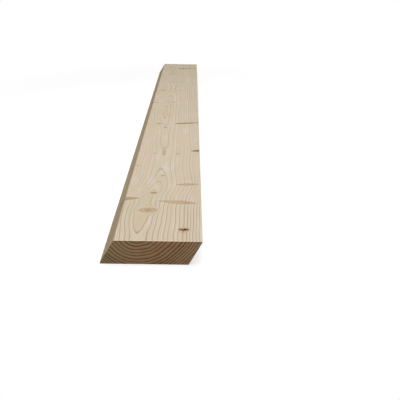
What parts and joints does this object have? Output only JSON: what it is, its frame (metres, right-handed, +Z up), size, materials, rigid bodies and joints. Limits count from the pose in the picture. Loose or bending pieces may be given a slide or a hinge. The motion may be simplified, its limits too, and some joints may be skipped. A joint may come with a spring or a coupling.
{
  "type": "timber facing board",
  "caption": "Planed softwood board with a rhombus section: two wide parallel faces and two long edges that lean the same way, for open-joint facades, screens and fences.",
  "frame": {"origin": "on the floor, at the middle of the board's length and overall width, with the board lying on its back face", "axes": "+Y along the grain from the near sawn end to the far one; +X across the board, towards the side that the upper face is set over to; +Z up out of the weather face"},
  "size_m": [0.1188, 2, 0.028],
  "materials": {
    "softwood": "planed, untreated and matt; sawn end grain is darker and rougher"
  },
  "bodies": {
    "root": {"plank": "softwood"}
  },
  "joints": []
}
